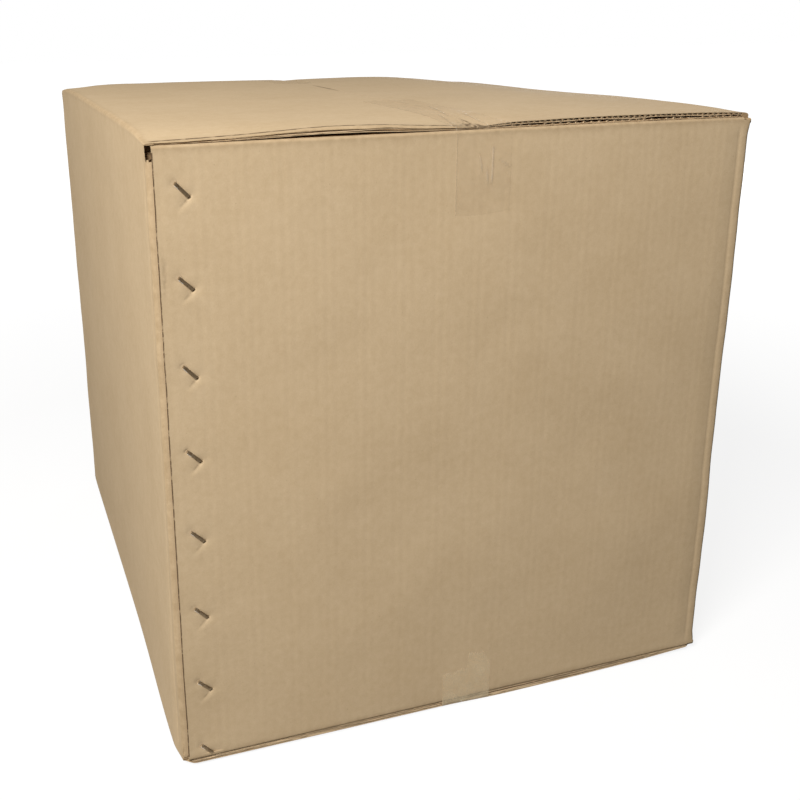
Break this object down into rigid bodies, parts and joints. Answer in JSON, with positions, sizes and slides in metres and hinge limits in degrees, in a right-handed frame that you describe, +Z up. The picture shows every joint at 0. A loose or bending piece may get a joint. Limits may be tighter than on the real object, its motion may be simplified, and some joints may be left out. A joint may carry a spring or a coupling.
{
  "type": "moving box",
  "caption": "Closed, taped carton of double-wall corrugated board with a wire-stitched corner joint, for moving and storing goods.",
  "frame": {"origin": "middle of the box on its rest plane, under the centre of its bounding box", "axes": "+Z up, +Y from the stitched front panel to the back panel along the top seam, +X to the right seen from the front"},
  "size_m": [0.518, 0.6152, 0.535],
  "materials": {
    "kraft_board": "matte natural kraft liner",
    "stitch_wire": "dull flat stitching wire",
    "clear_tape": "clear packing tape"
  },
  "bodies": {
    "root": {"carton": "kraft_board", "stitch_1": "stitch_wire", "stitch_2": "stitch_wire", "stitch_3": "stitch_wire", "stitch_4": "stitch_wire", "stitch_5": "stitch_wire", "stitch_6": "stitch_wire", "stitch_7": "stitch_wire", "stitch_8": "stitch_wire", "top_front_tape": "clear_tape", "top_rear_tape": "clear_tape", "bottom_tape": "clear_tape"}
  },
  "joints": []
}
